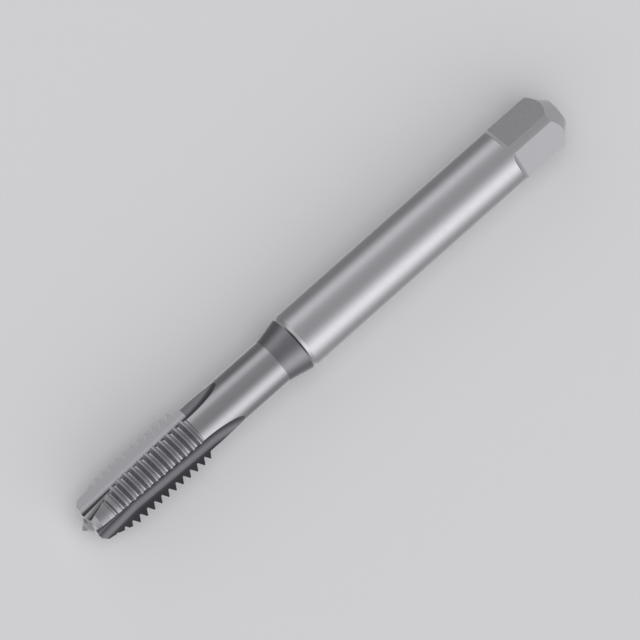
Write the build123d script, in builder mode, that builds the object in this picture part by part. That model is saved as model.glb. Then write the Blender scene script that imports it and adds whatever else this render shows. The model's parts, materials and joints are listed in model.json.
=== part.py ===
from build123d import *
from math import radians, tan
import os

# Spiral point machine tap for a metric thread, with a reinforced shank and a driving square.
# It is one piece of high-speed steel. It is worked out upright, with its axis on Z and the
# point of its male centre at the origin, and is laid on its side at the end.

# Driving dimensions, mm and degrees
overall_length = 100.0
thread_diameter = 10.06
pitch = 1.5
shank_diameter = 10.0
neck_diameter = 8.0
square_across_flats = 8.0
square_corner_diameter = 9.96
square_sides = 4

# Lengths along the axis, measured from the point of the male centre
front_face_height = 1.4
lead_start = 4.15
lead_end = 7.6
thread_end = 23.35
neck_end = 40.4
shank_start = 45.1
square_length = 11.0

# Front end
centre_point_radius = 1.5
front_face_radius = 3.3
front_face_rise = 0.3
front_bevel_height = 0.8
pilot_front_diameter = 8.16
pilot_back_diameter = 8.4

# Thread form
flank_angle = 30.0
crest_flat = pitch / 8
thread_depth = 0.62 * pitch
cutter_overrun = 0.1
thread_end_bevel = 0.8

# Shank
neck_fillet = 8.0
cone_top_diameter = 9.76
cone_top = 44.25
notch_diameter = 9.46
notch_bevel_length = 0.5
square_cove_radius = 1.0
end_chamfer = 2.45
centre_hole_diameter = 1.25
centre_hole_depth = 3.0
countersink_diameter = 2.65
countersink_angle = 60.0

# Flutes: the core is the radius left under them, and their two walls lean away from the nose.
# The wheel begins its pass a little ahead of the tap.
flute_count = 3
flute_nose_radius = 2.2
flute_core_back = 2.6
flute_core_front = 1.85
flute_face_angle = 25.0
flute_heel_angle = 52.0
flute_straight_end = 24.0
flute_wheel_radius = 20.0
flute_runout_angle = 35.0
wheel_overrun = 1.0

# Spiral point: the same wheel, turned aside and down to grind the leading faces at the front
spiral_angle = 14.0
spiral_dip_angle = 4.0
spiral_length = 8.5

# Where the groove first crosses a land, and the part of a turn that one crossing takes
groove_start = 4.125
stroke_angle = 80.0

thread_radius = thread_diameter / 2
shank_radius = shank_diameter / 2
neck_radius = neck_diameter / 2
root_radius = thread_radius - thread_depth
flute_spacing = 360 / flute_count
first_flute_angle = flute_spacing / 2

# The turned and ground blank
bevel_top = front_face_height + front_face_rise + front_bevel_height
square_start = overall_length - square_length
corner_radius = square_corner_diameter / 2
with BuildPart() as blank:
    with BuildSketch(Plane.XZ) as half_section:
        with BuildLine():
            Polyline(
                (0, 0),
                (centre_point_radius, front_face_height),
                (front_face_radius, front_face_height + front_face_rise),
                (pilot_front_diameter / 2, bevel_top),
                (pilot_back_diameter / 2, lead_start),
                (thread_radius, lead_end),
                (thread_radius, thread_end - thread_end_bevel),
                (neck_radius, thread_end),
                (neck_radius, neck_end),
                (cone_top_diameter / 2, cone_top),
                (notch_diameter / 2, shank_start - notch_bevel_length),
                (shank_radius, shank_start),
                (shank_radius, square_start),
                (corner_radius, overall_length - end_chamfer),
                (corner_radius - end_chamfer, overall_length),
                (0, overall_length),
                close=True,
            )
        make_face()
        neck_corner = half_section.vertices().sort_by_distance((neck_radius, neck_end, 0))[0]
        fillet(neck_corner, radius=neck_fillet)
    revolve(axis=Axis.Z)

# The groove between the threads: one short helical stroke of a trapezoid across one land.
# The strokes begin and end over the flutes and follow each other round the helix.
groove_top = thread_radius + cutter_overrun
groove_top_half = (pitch - crest_flat) / 2 + cutter_overrun * tan(radians(flank_angle))
groove_root_half = groove_top_half - (groove_top - root_radius) * tan(radians(flank_angle))
stroke_rise = pitch * stroke_angle / 360
stroke_plane = Plane.XY.offset(-stroke_rise / 2).rotated((0, 0, -stroke_angle / 2))
with BuildPart() as groove_stroke:
    with BuildLine(stroke_plane):
        Helix(pitch=pitch, height=stroke_rise, radius=root_radius)
    with BuildSketch(Plane(stroke_plane.origin, x_dir=stroke_plane.x_dir, z_dir=-stroke_plane.y_dir)):
        with BuildLine():
            Polyline(
                (root_radius, -groove_root_half),
                (groove_top, -groove_top_half),
                (groove_top, groove_top_half),
                (root_radius, groove_root_half),
                close=True,
            )
        make_face()
    sweep(is_frenet=True)
land_step = pitch / flute_count
stroke_count = int((thread_end + pitch / 2 - groove_start) / land_step)
stroke_places = [
    Location((0, 0, groove_start + stroke * land_step), (0, 0, (stroke + 1) * flute_spacing))
    for stroke in range(stroke_count)
]

# One flute: a rounded nose between two straight walls, a little deeper toward the front, run out
# into the neck on the arc of the wheel
flute_slope = (flute_core_back - flute_core_front) / flute_straight_end
flute_front = Vector(flute_core_front - flute_slope * wheel_overrun, 0, -wheel_overrun)
flute_back = Vector(flute_core_back, 0, flute_straight_end)
wall_length = thread_diameter


def flute_section(path_start, path_direction):
    """The wheel's section, square to its path, with the leading face toward +Y."""
    with BuildSketch(Plane(path_start, x_dir=(1, 0, 0), z_dir=path_direction)) as section:
        with BuildLine():
            nose = CenterArc(
                (flute_nose_radius, 0),
                flute_nose_radius,
                start_angle=90 + flute_face_angle,
                arc_size=180 - flute_face_angle - flute_heel_angle,
            )
            face_wall = PolarLine(nose @ 0, wall_length, flute_face_angle)
            heel_wall = PolarLine(nose @ 1, wall_length, -flute_heel_angle)
            Line(face_wall @ 1, heel_wall @ 1)
        make_face()
    return section.sketch


with BuildPart() as flute:
    with BuildLine(Plane.XZ) as flute_path:
        straight = Line((flute_front.X, flute_front.Z), (flute_back.X, flute_back.Z))
        JernArc(straight @ 1, straight % 1, flute_wheel_radius, -flute_runout_angle)
    add(flute_section(straight @ 0, straight % 0))
    sweep(path=flute_path.line)

# The spiral point leaves the flute at its own depth and turns toward the leading face
spiral_back = Vector(flute_core_front + flute_slope * spiral_length, 0, spiral_length)
spiral_run = spiral_length + wheel_overrun
spiral_travel = Vector(-tan(radians(spiral_dip_angle)), tan(radians(spiral_angle)), -1) * spiral_run
with BuildPart() as spiral_cut:
    with BuildLine() as spiral_path:
        slant = Line(spiral_back + spiral_travel, spiral_back)
    add(flute_section(slant @ 0, slant % 0))
    sweep(path=spiral_path.line)

# One flat of the driving square, with the cove that its wheel leaves at the start
square_apothem = square_across_flats / 2
with BuildPart() as flat_cut:
    with BuildSketch(Plane.XZ) as flat_side:
        with BuildLine():
            Polyline(
                (square_apothem, overall_length + wheel_overrun),
                (square_apothem, square_start + square_cove_radius),
            )
            cove = JernArc(
                (square_apothem, square_start + square_cove_radius), (0, -1), square_cove_radius, 90
            )
            Polyline(
                cove @ 1,
                (thread_diameter, square_start),
                (thread_diameter, overall_length + wheel_overrun),
                (square_apothem, overall_length + wheel_overrun),
            )
        make_face()
    extrude(amount=shank_radius, both=True)

# The tap upright: the blank less the flutes, the groove, the driving square and the centre hole
with BuildPart() as upright:
    add(blank.part)
    with PolarLocations(0, flute_count, start_angle=first_flute_angle):
        add(flute.part, mode=Mode.SUBTRACT)
        add(spiral_cut.part, mode=Mode.SUBTRACT)
    with Locations(*stroke_places):
        add(groove_stroke.part, mode=Mode.SUBTRACT)
    with PolarLocations(0, square_sides, start_angle=180 / square_sides):
        add(flat_cut.part, mode=Mode.SUBTRACT)
    with Locations(Plane.XY.offset(overall_length)):
        CounterSinkHole(
            centre_hole_diameter / 2,
            countersink_diameter / 2,
            depth=centre_hole_depth,
            counter_sink_angle=countersink_angle,
        )

# The finished tap lies along X with its thread toward -X and one land facing up
lying_plane = Plane((-overall_length / 2, 0, shank_radius), x_dir=(0, 0, 1), z_dir=(1, 0, 0))
with BuildPart() as tap:
    with Locations(lying_plane):
        add(upright.part)

tap.part.label = "tap"
os.makedirs("parts", exist_ok=True)
export_step(tap.part, "parts/tap.step")
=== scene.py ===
import json
from math import atan2, ceil, cos, pi, radians, sin, tan

import bmesh
import bpy
from mathutils import Matrix, Vector


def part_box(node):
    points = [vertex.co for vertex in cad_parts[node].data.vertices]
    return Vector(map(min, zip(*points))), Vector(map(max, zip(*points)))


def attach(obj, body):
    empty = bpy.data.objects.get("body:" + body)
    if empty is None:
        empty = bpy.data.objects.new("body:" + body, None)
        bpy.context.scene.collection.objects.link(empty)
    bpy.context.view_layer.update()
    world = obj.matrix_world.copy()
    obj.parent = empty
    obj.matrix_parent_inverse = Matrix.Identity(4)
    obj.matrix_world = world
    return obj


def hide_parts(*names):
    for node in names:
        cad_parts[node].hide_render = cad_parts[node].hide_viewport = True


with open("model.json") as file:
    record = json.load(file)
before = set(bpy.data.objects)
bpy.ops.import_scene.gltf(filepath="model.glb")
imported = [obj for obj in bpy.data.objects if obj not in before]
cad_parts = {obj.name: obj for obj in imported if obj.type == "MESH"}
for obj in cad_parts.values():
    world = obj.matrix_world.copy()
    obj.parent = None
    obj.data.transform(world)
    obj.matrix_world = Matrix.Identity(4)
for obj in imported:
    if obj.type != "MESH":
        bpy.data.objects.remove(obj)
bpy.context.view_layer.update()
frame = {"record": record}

# A spiral point machine tap in ground high-speed steel, lying on a pale floor in a light tent
MM = 0.001
SHANK_MOUNT = next(m for m in frame["record"]["mounts"] if m["name"] == "shank")
LOW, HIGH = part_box("tap")
AXIS_HEIGHT = SHANK_MOUNT["pos_m"][2]

# Sizes of the tap in millimetres, along its axis from the point of the male centre
LENGTH = (HIGH.x - LOW.x) / MM
SHANK_RADIUS = SHANK_MOUNT["dims"]["r_mm"]
THREAD_RADIUS = 5.03
PITCH = 1.5
NECK_RADIUS = 4.0
CENTRE_POINT = (1.4, 1.5)
FRONT_FACE = (1.7, 3.3)
PILOT_FRONT = (2.5, 4.08)
PILOT_BACK = (4.15, 4.2)
LEAD_END = 7.6
THREAD_END = 23.35
THREAD_END_BEVEL = 0.8
NECK_END = 40.4
NECK_FILLET = 8.0
CONE_TOP = (44.25, 4.88)
NOTCH = (44.6, 4.73)
SHANK_START = 45.1
SQUARE_LENGTH = 11.0
SQUARE_START = LENGTH - SQUARE_LENGTH
SQUARE_APOTHEM = 4.0
SQUARE_CORNER_RADIUS = 4.98
SQUARE_COVE = 1.0
END_CHAMFER = 2.45
CENTRE_HOLE_RADIUS = 0.625
CENTRE_HOLE_DEPTH = 3.0
COUNTERSINK_RADIUS = 1.325
COUNTERSINK_ANGLE = 60.0

# The wheel that grinds the flutes, its path, and the path of the spiral point
FLUTE_COUNT = 3
FLUTE_NOSE = 2.2
FLUTE_CORE_FRONT = 1.85
FLUTE_CORE_BACK = 2.6
FLUTE_FACE_ANGLE = 25.0
FLUTE_HEEL_ANGLE = 52.0
FLUTE_STRAIGHT_END = 24.0
FLUTE_WHEEL = 20.0
FLUTE_RUNOUT_ANGLE = 35.0
SPIRAL_ANGLE = 14.0
SPIRAL_DIP_ANGLE = 4.0
SPIRAL_LENGTH = 8.5

# The thread groove, the place along the axis where it first meets a land, how many degrees it runs
# on before the first land and past the last, and how far its cutter stands out over the crests
FLANK_ANGLE = 30.0
CREST_FLAT = PITCH / 8
THREAD_DEPTH = 0.62 * PITCH
GROOVE_START = 4.125
GROOVE_LEAD_IN = 40.0
GROOVE_OVERCUT = 0.1

# Where one finish gives way to the next along the neck, in millimetres; and round the wheel's nose, in
# degrees, where the painted shade of the face ends, and where the painted shade of the nose gives way
# to the heel of a flute and to that of the spiral point
NECK_FINISH_TO = 40.0
FACE_SHADE_TO = 138.0
FLUTE_NOSE_SHADE_TO = 195.0
POINT_NOSE_SHADE_TO = 183.0

# How finely the round forms are cut into facets, the angle from which an edge stays sharp, in
# degrees, and how far a cutter runs past the steel, in millimetres
LATHE_STEP = 1.5
GROOVE_STEP = 3.0
NOSE_STEP = 4.0
WHEEL_STEP = 1.5
COVE_STEP = 7.5
SHARP_ANGLE = 7.0
OVERRUN = 1.0

# The marks that a wheel or a turning tool leaves, in millimetres: the spacing across them, and
# the length and depth of each kind. Real ones are a few hundredths apart and are drawn coarser,
# so that they show. Between the two levels of their noise the roughness varies by the spread.
MARK_SPACING = 0.12
GROUND_MARKS = (2.0, 0.0004)
TURNED_MARKS = (0.5, 0.002)
FINE_MARKS = (2.0, 0.00004)
MARK_DETAIL = 3.0
MARK_RANGE = (0.3, 0.7)
ROUGHNESS_SPREAD = 0.04

# The finishes of the steel, some of them with painted light and painted shade in their colour: the
# material's name, its colour, its roughness and its marks
FINISHES_AND_PAINTED_SHADING = {
    # Ground between centres: pale silver that spreads soft bands of light along the shank
    "shank": ("ground_shank_steel", "#D1D0D5", 0.33, *GROUND_MARKS),
    # Ground with a finer wheel: a little darker than the shank, with narrower bands
    "neck": ("ground_neck_steel", "#B7B6BB", 0.20, *GROUND_MARKS),
    # Turned and left so: dull, darker and uneven between two bright stretches
    "cone": ("turned_cone_steel", "#908F95", 0.34, *TURNED_MARKS),
    # Thread ground: crests and roots that show as fine light lines
    "thread": ("ground_thread_steel", "#B6B5BA", 0.27, *GROUND_MARKS),
    # The flank that faces the shank, with painted light: a brighter copy of the thread's steel that
    # stands in for the light on that side and fills the space between the light lines
    "front_flank": ("painted_light_flank_steel", "#F0EFF4", 0.45, *GROUND_MARKS),
    # The flank that faces the point, with painted shade: a darker copy of the thread's steel that
    # gives the thread its dark stripes
    "back_flank": ("painted_shade_flank_steel", "#A1A0A5", 0.27, *GROUND_MARKS),
    # Ground plain: an even mid grey before the thread begins
    "pilot": ("ground_pilot_steel", "#B0AFB4", 0.34, *GROUND_MARKS),
    # The open side of a flute, fresh from the wheel: a broad pale plane
    "heel": ("ground_heel_steel", "#C0BFC4", 0.34, *GROUND_MARKS),
    # Where the wheel leaves the flute: the heel's steel with painted shade, mid grey, so the end of
    # the flute reads against the neck
    "runout": ("painted_shade_runout_steel", "#88878C", 0.36, *GROUND_MARKS),
    # The bottom of a flute, with painted shade where light hardly reaches: a soft dark line
    "nose": ("painted_shade_nose_steel", "#757479", 0.36, *GROUND_MARKS),
    # The cutting face, turned away from the light: painted shade makes it the darkest steel, close to
    # charcoal
    "face": ("painted_shade_face_steel", "#58575D", 0.42, *GROUND_MARKS),
    # Surface ground flats: each one an even grey of its own
    "square": ("ground_square_steel", "#D0CFD4", 0.30, *FINE_MARKS),
}

# How bright the light tent is, by the angle in degrees from overhead. Round the tap the angle
# grows toward -Y, and along the tap toward +X. The brightness along the tap takes over from the
# one round it near the tent's two ends, between two reaches each, and the front end is set askew.
TENT_PEAK = 1.8
TENT_BACK_END = (0.3, 0.6)
TENT_FRONT_END = (-0.75, -0.95)
TENT_FRONT_SKEW = -0.3
TENT_ROUND = [
    (-180, 0.80),
    (-160, 0.75),
    (-146, 0.28),
    (-98, 0.22),
    (-86, 0.34),
    (-72, 0.76),
    (-60, 0.88),
    (-50, 0.78),
    (-36, 0.49),
    (-24, 0.43),
    (8, 0.38),
    (22, 0.51),
    (36, 0.92),
    (50, 1.30),
    (60, 1.40),
    (70, 1.27),
    (84, 0.88),
    (96, 0.52),
    (110, 0.36),
    (134, 0.36),
    (152, 0.70),
    (180, 0.80),
]
TENT_ALONG = [
    (-180, 0.80),
    (-125, 0.50),
    (-90, 0.50),
    (-84, 0.55),
    (-76, 1.10),
    (-66, 1.50),
    (-54, 1.20),
    (-36, 0.50),
    (-15, 0.45),
    (10, 0.60),
    (28, 0.40),
    (40, 0.10),
    (58, 0.04),
    (72, 0.20),
    (90, 0.50),
    (130, 0.50),
    (180, 0.80),
]

# The tap is worked out upright and laid down with its point toward -X
LAID_DOWN = Matrix(((0, 0, 1, LOW.x), (0, -1, 0, 0), (1, 0, 0, AXIS_HEIGHT), (0, 0, 0, 1)))
LAID_DOWN = LAID_DOWN @ Matrix.Diagonal((MM, MM, MM, 1))


def linear(hex_colour):
    """An sRGB hex colour as the linear colour that a socket takes."""
    parts = [int(hex_colour[i : i + 2], 16) / 255 for i in (1, 3, 5)]
    return [c / 12.92 if c <= 0.04045 else ((c + 0.055) / 1.055) ** 2.4 for c in parts] + [1.0]


def add_node(tree, kind, inputs=(), **settings):
    """Adds one node with its settings. Each input takes a value or another node's output."""
    node = tree.nodes.new(kind)
    for name, value in settings.items():
        setattr(node, name, value)
    for name, value in dict(inputs).items():
        if isinstance(value, bpy.types.NodeSocket):
            tree.links.new(value, node.inputs[name])
        else:
            node.inputs[name].default_value = value
    return node


def new_finish(name):
    """An empty material and its node tree."""
    material = bpy.data.materials.new(name)
    material.use_nodes = True
    material.node_tree.nodes.clear()
    return material, material.node_tree


def round_the_axis(tree):
    """Millimetres along the tap, and millimetres round it at the shank's surface."""
    place = add_node(tree, "ShaderNodeTexCoord").outputs["Object"]
    parts = add_node(tree, "ShaderNodeSeparateXYZ", {0: place})
    height = add_node(
        tree, "ShaderNodeMath", {0: parts.outputs["Z"], 1: AXIS_HEIGHT}, operation="SUBTRACT"
    )
    turn = add_node(
        tree, "ShaderNodeMath", {0: parts.outputs["Y"], 1: height.outputs[0]}, operation="ARCTAN2"
    )
    along = add_node(
        tree, "ShaderNodeMath", {0: parts.outputs["X"], 1: 1 / MM}, operation="MULTIPLY"
    )
    around = add_node(
        tree, "ShaderNodeMath", {0: turn.outputs[0], 1: SHANK_RADIUS}, operation="MULTIPLY"
    )
    return along.outputs[0], around.outputs[0]


def machined_steel(name, colour, roughness, mark_length, mark_depth):
    """Ground or turned high-speed steel: a cool grey metal with fine marks round the axis."""
    material, tree = new_finish(name)
    along, around = round_the_axis(tree)
    stretched = add_node(
        tree,
        "ShaderNodeMath",
        {0: around, 1: MARK_SPACING / mark_length},
        operation="MULTIPLY",
    )
    place = add_node(tree, "ShaderNodeCombineXYZ", {"X": along, "Y": stretched.outputs[0]})
    marks = add_node(
        tree,
        "ShaderNodeTexNoise",
        {"Vector": place.outputs[0], "Scale": 1 / MARK_SPACING, "Detail": MARK_DETAIL},
        noise_dimensions="2D",
    )
    rough = add_node(
        tree,
        "ShaderNodeMapRange",
        {
            "Value": marks.outputs["Fac"],
            "From Min": MARK_RANGE[0],
            "From Max": MARK_RANGE[1],
            "To Min": roughness - ROUGHNESS_SPREAD,
            "To Max": roughness + ROUGHNESS_SPREAD,
        },
    )
    relief = add_node(
        tree,
        "ShaderNodeBump",
        {"Height": marks.outputs["Fac"], "Distance": mark_depth * MM, "Strength": 1.0},
    )
    steel = add_node(
        tree,
        "ShaderNodeBsdfPrincipled",
        {
            "Base Color": linear(colour),
            "Metallic": 1.0,
            "Roughness": rough.outputs[0],
            "Normal": relief.outputs[0],
        },
    )
    add_node(tree, "ShaderNodeOutputMaterial", {"Surface": steel.outputs[0]})
    return material


def mesh_object(name, points, faces, finishes):
    """A closed mesh in millimetres, upright, with the finish of each face."""
    places = {finish: place for place, finish in enumerate(FINISHES_AND_PAINTED_SHADING)}
    mesh = bpy.data.meshes.new(name)
    mesh.from_pydata(points, [], faces)
    mesh.polygons.foreach_set("material_index", [places[finish] for finish in finishes])
    for material in STEEL:
        mesh.materials.append(material)
    shape = bmesh.new()
    shape.from_mesh(mesh)
    bmesh.ops.recalc_face_normals(shape, faces=shape.faces)
    shape.to_mesh(mesh)
    shape.free()
    made = bpy.data.objects.new(name, mesh)
    bpy.context.scene.collection.objects.link(made)
    return made


def turned(name, outline):
    """Turns an outline of (height, radius, finish of the stretch that follows) round the axis."""
    steps = round(360 / LATHE_STEP)
    points, rings = [], []
    for height, radius, _ in outline:
        if radius == 0:
            rings.append([len(points)] * steps)
            points.append((0, 0, height))
            continue
        rings.append(list(range(len(points), len(points) + steps)))
        for step in range(steps):
            turn = 2 * pi * step / steps
            points.append((radius * cos(turn), radius * sin(turn), height))
    faces, finishes = [], []
    for (lower, upper), (_, _, finish) in zip(zip(rings, rings[1:]), outline):
        for step in range(steps):
            after = (step + 1) % steps
            corners = [lower[step], lower[after], upper[after], upper[step]]
            faces.append(list(dict.fromkeys(corners)))
            finishes.append(finish)
    return mesh_object(name, points, faces, finishes)


def swept(name, section, stations, side_finishes, arc_finishes=None):
    """Carries a flat section along stations, each an origin and the section's two axes.

    Where arc finishes are given, they take over from the second station on.
    """
    count = len(section)
    points = [o + x * sx + y * sy for o, x, y in stations for sx, sy in section]
    faces = [list(range(count)), list(range(len(points) - count, len(points)))]
    finishes = side_finishes[:1] * 2
    for ring in range(len(stations) - 1):
        for side, finish in enumerate(arc_finishes if ring and arc_finishes else side_finishes):
            a, b = ring * count + side, ring * count + (side + 1) % count
            faces.append([a, b, b + count, a + count])
            finishes.append(finish)
    return mesh_object(name, points, faces, finishes)


def turned_blank():
    """The tap before grinding: male centre, pilot, lead, thread, neck, cone, shank and chamfer."""
    rise = atan2(CONE_TOP[1] - NECK_RADIUS, CONE_TOP[0] - NECK_END)
    reach = NECK_FILLET * tan(rise / 2)
    fillet_steps = ceil(rise / radians(LATHE_STEP))
    fillet = []
    for step in range(fillet_steps + 1):
        turn = rise * step / fillet_steps
        height = NECK_END - reach + NECK_FILLET * sin(turn)
        finish = "neck" if height < NECK_FINISH_TO else "cone"
        fillet.append((height, NECK_RADIUS + NECK_FILLET * (1 - cos(turn)), finish))
    outline = [
        (0, 0, "thread"),
        (*CENTRE_POINT, "thread"),
        (*FRONT_FACE, "thread"),
        (*PILOT_FRONT, "pilot"),
        (*PILOT_BACK, "thread"),
        (LEAD_END, THREAD_RADIUS, "thread"),
        (THREAD_END - THREAD_END_BEVEL, THREAD_RADIUS, "thread"),
        (THREAD_END, NECK_RADIUS, "neck"),
        *fillet,
        (*CONE_TOP, "thread"),
        (*NOTCH, "shank"),
        (SHANK_START, SHANK_RADIUS, "shank"),
        (SQUARE_START, SHANK_RADIUS, "shank"),
        (LENGTH - END_CHAMFER, SQUARE_CORNER_RADIUS, "square"),
        (LENGTH, SQUARE_CORNER_RADIUS - END_CHAMFER, "square"),
        (LENGTH, 0, "square"),
    ]
    return turned("tap_steel", outline)


def wheel_section(nose_shade_to):
    """The wheel's section, leading face toward +Y, and the finish of each side, with painted shade on
    the face and the nose.
    """
    first, last = radians(90 + FLUTE_FACE_ANGLE), radians(270 - FLUTE_HEEL_ANGLE)
    steps = ceil((last - first) / radians(NOSE_STEP))
    turns = [first + (last - first) * step / steps for step in range(steps + 1)]
    nose = [(FLUTE_NOSE * (1 + cos(turn)), FLUTE_NOSE * sin(turn)) for turn in turns]
    wall = 2 * THREAD_RADIUS
    face, heel = radians(FLUTE_FACE_ANGLE), radians(-FLUTE_HEEL_ANGLE)
    heel_end = (nose[-1][0] + wall * cos(heel), nose[-1][1] + wall * sin(heel))
    face_end = (nose[0][0] + wall * cos(face), nose[0][1] + wall * sin(face))
    sides = []
    # The face and the nose get painted shade, darker copies of the ground steel; the heel keeps its
    # own grey
    for turn in turns[1:]:
        if turn < radians(FACE_SHADE_TO):
            sides.append("face")
        else:
            sides.append("nose" if turn < radians(nose_shade_to) else "heel")
    return nose + [heel_end, face_end], sides + ["heel", "heel", "face"]


FLUTE_SLOPE = (FLUTE_CORE_BACK - FLUTE_CORE_FRONT) / FLUTE_STRAIGHT_END
SIDEWAYS = Vector((0, 1, 0))


def flute_cut(turn):
    """One straight flute that deepens toward the front and runs out on the wheel's arc."""
    section, sides = wheel_section(FLUTE_NOSE_SHADE_TO)
    front = Vector((FLUTE_CORE_FRONT - FLUTE_SLOPE * OVERRUN, 0, -OVERRUN))
    back = Vector((FLUTE_CORE_BACK, 0, FLUTE_STRAIGHT_END))
    ahead = (back - front).normalized()
    outward = SIDEWAYS.cross(ahead)
    wheel_centre = back + outward * FLUTE_WHEEL
    stations = [(front, outward, SIDEWAYS)]
    steps = ceil(FLUTE_RUNOUT_ANGLE / WHEEL_STEP)
    for step in range(steps + 1):
        tilt = radians(FLUTE_RUNOUT_ANGLE) * step / steps
        leaning = outward * cos(tilt) - ahead * sin(tilt)
        stations.append((wheel_centre - leaning * FLUTE_WHEEL, leaning, SIDEWAYS))
    # On the wheel's arc the heel gets painted shade, a darker copy of its steel where the flute ends
    on_the_arc = ["runout" if side == "heel" else side for side in sides]
    return turned_about_axis(swept("flute_cut", section, stations, sides, on_the_arc), turn)


def spiral_point_cut(turn):
    """The slanted pass of the wheel that gives a leading face its spiral point."""
    section, sides = wheel_section(POINT_NOSE_SHADE_TO)
    back = Vector((FLUTE_CORE_FRONT + FLUTE_SLOPE * SPIRAL_LENGTH, 0, SPIRAL_LENGTH))
    run = SPIRAL_LENGTH + OVERRUN
    dip, aside = tan(radians(SPIRAL_DIP_ANGLE)), tan(radians(SPIRAL_ANGLE))
    ahead = Vector((dip, -aside, 1)).normalized()
    outward = Vector((1, 0, 0))
    outward = (outward - ahead * outward.dot(ahead)).normalized()
    across = ahead.cross(outward)
    front = back + Vector((-dip, aside, -1)) * run
    stations = [(front, outward, across), (back, outward, across)]
    return turned_about_axis(swept("spiral_cut", section, stations, sides), turn)


def thread_groove():
    """The groove between the threads, one helix from the pilot to the neck."""
    slope = tan(radians(FLANK_ANGLE))
    top, root = THREAD_RADIUS + GROOVE_OVERCUT, THREAD_RADIUS - THREAD_DEPTH
    top_half = (PITCH - CREST_FLAT) / 2 + GROOVE_OVERCUT * slope
    root_half = top_half - (top - root) * slope
    section = [(root, -root_half), (top, -top_half), (top, top_half), (root, root_half)]
    spacing = 360 / FLUTE_COUNT
    land_step = PITCH / FLUTE_COUNT
    lands = int((THREAD_END + PITCH / 2 - GROOVE_START) / land_step)
    begin, end = spacing - GROOVE_LEAD_IN, spacing * lands + GROOVE_LEAD_IN
    steps = ceil((end - begin) / GROOVE_STEP)
    stations = []
    for step in range(steps + 1):
        degrees = begin + (end - begin) * step / steps
        turn = radians(degrees)
        height = GROOVE_START + (degrees / spacing - 1) * land_step
        stations.append((Vector((0, 0, height)), Vector((cos(turn), sin(turn), 0)), Vector((0, 0, 1))))
    # The flank that faces the shank gets painted light, and the one that faces the point gets painted
    # shade
    sides = ["front_flank", "thread", "back_flank", "thread"]
    return swept("thread_groove", section, stations, sides)


def square_flat_cut(turn):
    """One flat of the driving square, with the cove where its wheel stopped."""
    steps = round(90 / COVE_STEP)
    cove = [
        (
            SQUARE_APOTHEM + SQUARE_COVE * (1 - cos(pi / 2 * step / steps)),
            SQUARE_START + SQUARE_COVE * (1 - sin(pi / 2 * step / steps)),
        )
        for step in range(steps + 1)
    ]
    outer, top = 2 * SHANK_RADIUS, LENGTH + OVERRUN
    section = [(SQUARE_APOTHEM, top), *cove, (outer, SQUARE_START), (outer, top)]
    axes = (Vector((1, 0, 0)), Vector((0, 0, 1)))
    stations = [(SIDEWAYS * side * SHANK_RADIUS, *axes) for side in (-1, 1)]
    flat = swept("square_flat_cut", section, stations, ["square"] * len(section))
    return turned_about_axis(flat, turn)


def centre_hole_cut():
    """The female centre in the shank end."""
    slope = tan(radians(COUNTERSINK_ANGLE / 2))
    sink_depth = (COUNTERSINK_RADIUS - CENTRE_HOLE_RADIUS) / slope
    outline = [
        (LENGTH - CENTRE_HOLE_DEPTH, 0, "square"),
        (LENGTH - CENTRE_HOLE_DEPTH, CENTRE_HOLE_RADIUS, "square"),
        (LENGTH - sink_depth, CENTRE_HOLE_RADIUS, "square"),
        (LENGTH + OVERRUN, COUNTERSINK_RADIUS + OVERRUN * slope, "square"),
        (LENGTH + OVERRUN, 0, "square"),
    ]
    return turned("centre_hole_cut", outline)


def turned_about_axis(cutter, degrees):
    """Turns a cutter to its place round the tap."""
    cutter.data.transform(Matrix.Rotation(radians(degrees), 4, "Z"))
    return cutter


def cut_away(stock, cutters):
    """Takes each cutter out of the stock and deletes it."""
    for cutter in cutters:
        pass_over = stock.modifiers.new(cutter.name, "BOOLEAN")
        pass_over.operation = "DIFFERENCE"
        pass_over.solver = "MANIFOLD"
        pass_over.object = cutter
        bpy.context.view_layer.update()
        depsgraph = bpy.context.evaluated_depsgraph_get()
        carved = bpy.data.meshes.new_from_object(stock.evaluated_get(depsgraph), depsgraph=depsgraph)
        stock.modifiers.clear()
        stock.data = carved
        bpy.data.objects.remove(cutter)


def tap():
    """The tap in steel: turned, fluted, pointed, threaded, squared and laid on its side."""
    spacing = 360 / FLUTE_COUNT
    flutes = [spacing / 2 + spacing * number for number in range(FLUTE_COUNT)]
    stock = turned_blank()
    cutters = [flute_cut(turn) for turn in flutes] + [spiral_point_cut(turn) for turn in flutes]
    cutters.append(thread_groove())
    cutters += [square_flat_cut(45 + 90 * side) for side in range(4)]
    cutters.append(centre_hole_cut())
    cut_away(stock, cutters)
    stock.data.transform(LAID_DOWN)
    stock.data.polygons.foreach_set("use_smooth", [True] * len(stock.data.polygons))
    stock.data.set_sharp_from_angle(angle=radians(SHARP_ANGLE))
    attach(stock, "root")
    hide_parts("tap")
    return stock


def floor():
    """A plain pale floor."""
    reach = 3.0
    mesh = bpy.data.meshes.new("floor")
    corners = [(-reach, -reach, 0), (reach, -reach, 0), (reach, reach, 0), (-reach, reach, 0)]
    mesh.from_pydata(corners, [], [(0, 1, 2, 3)])
    material, tree = new_finish("pale_floor")
    paint = add_node(
        tree, "ShaderNodeBsdfPrincipled", {"Base Color": linear("#E4E4E6"), "Roughness": 0.8}
    )
    add_node(tree, "ShaderNodeOutputMaterial", {"Surface": paint.outputs[0]})
    mesh.materials.append(material)
    ground = bpy.data.objects.new("floor", mesh)
    bpy.context.scene.collection.objects.link(ground)
    ground.visible_glossy = False
    ground.visible_shadow = False


def floor_light():
    """A wide lamp overhead that lights the floor and isn't mirrored in the steel."""
    lamp = bpy.data.lights.new("floor_light", "AREA")
    lamp.size = 2.0
    lamp.energy = 12.0
    lit = bpy.data.objects.new("floor_light", lamp)
    lit.location = (0, 0, 2.0)
    lit.visible_camera = False
    lit.visible_glossy = False
    bpy.context.scene.collection.objects.link(lit)


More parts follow.
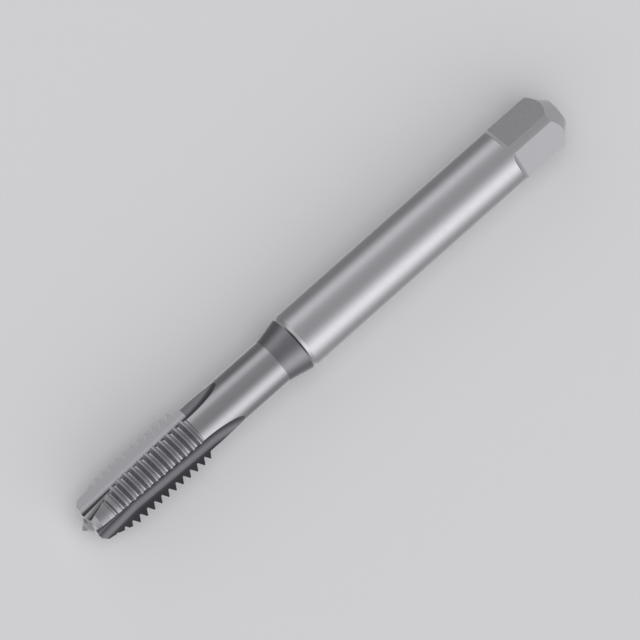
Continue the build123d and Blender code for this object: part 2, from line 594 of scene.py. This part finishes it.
def tent_side(tree, sideways, height, stops):
    """The tent's brightness in the plane of one sideways axis and the vertical."""
    turn = add_node(tree, "ShaderNodeMath", {0: sideways, 1: height}, operation="ARCTAN2")
    place = add_node(
        tree, "ShaderNodeMapRange", {"Value": turn.outputs[0], "From Min": -pi, "From Max": pi}
    )
    ramp = add_node(tree, "ShaderNodeValToRGB", {"Fac": place.outputs[0]})
    elements = ramp.color_ramp.elements
    for number, (angle, level) in enumerate(stops):
        share = (angle + 180) / 360
        element = elements[number] if number < 2 else elements.new(share)
        element.position = share
        element.color = [level / TENT_PEAK] * 3 + [1]
    return ramp.outputs["Color"]


def light_tent():
    """A soft white tent with two long bands of light along the tap, darker beside them."""
    world = bpy.data.worlds.new("light_tent")
    bpy.context.scene.world = world
    world.use_nodes = True
    tree = world.node_tree
    tree.nodes.clear()
    direction = add_node(tree, "ShaderNodeTexCoord").outputs["Generated"]
    parts = add_node(tree, "ShaderNodeSeparateXYZ", {0: direction}).outputs
    toward = add_node(tree, "ShaderNodeMath", {0: parts["Y"], 1: -1.0}, operation="MULTIPLY")
    round_tap = tent_side(tree, toward.outputs[0], parts["Z"], TENT_ROUND)
    along_tap = tent_side(tree, parts["X"], parts["Z"], TENT_ALONG)
    front_reach = add_node(
        tree,
        "ShaderNodeMath",
        {0: toward.outputs[0], 1: TENT_FRONT_SKEW, 2: parts["X"]},
        operation="MULTIPLY_ADD",
    )
    reaches = ((parts["X"], TENT_BACK_END), (front_reach.outputs[0], TENT_FRONT_END))
    ends = [
        add_node(
            tree,
            "ShaderNodeMapRange",
            {"Value": reach, "From Min": begin, "From Max": full},
            interpolation_type="SMOOTHSTEP",
        ).outputs[0]
        for reach, (begin, full) in reaches
    ]
    share = add_node(tree, "ShaderNodeMath", {0: ends[0], 1: ends[1]}, operation="ADD")
    mixed = add_node(
        tree,
        "ShaderNodeMix",
        {"Factor": share.outputs[0], "A": round_tap, "B": along_tap},
        data_type="RGBA",
    )
    sky = add_node(
        tree, "ShaderNodeBackground", {"Color": mixed.outputs["Result"], "Strength": TENT_PEAK}
    )
    add_node(tree, "ShaderNodeOutputWorld", {"Surface": sky.outputs[0]})


def photo_camera():
    """The photograph's view: from above, a little from the point's end, with a long lens."""
    tilt, roll = radians(8.4), radians(41.55)
    distance = 1.5
    pixels_per_metre = 6390
    image_size = 640
    back = Vector((-sin(tilt), 0, cos(tilt)))
    along = Vector((cos(tilt), 0, sin(tilt)))
    right = along * cos(roll) - SIDEWAYS * sin(roll)
    up = along * sin(roll) + SIDEWAYS * cos(roll)
    camera = bpy.data.objects.new("camera", bpy.data.cameras.new("camera"))
    camera.data.lens = pixels_per_metre * distance * camera.data.sensor_width / image_size
    camera.data.clip_end = 10
    turn = Matrix((right, up, back)).transposed().to_4x4()
    camera.matrix_world = Matrix.Translation(Vector((0, 0, AXIS_HEIGHT)) + back * distance) @ turn
    bpy.context.scene.collection.objects.link(camera)
    bpy.context.scene.camera = camera


STEEL = [machined_steel(*finish) for finish in FINISHES_AND_PAINTED_SHADING.values()]
tap()
floor()
floor_light()
light_tent()
photo_camera()
bpy.context.scene.view_settings.view_transform = "Standard"
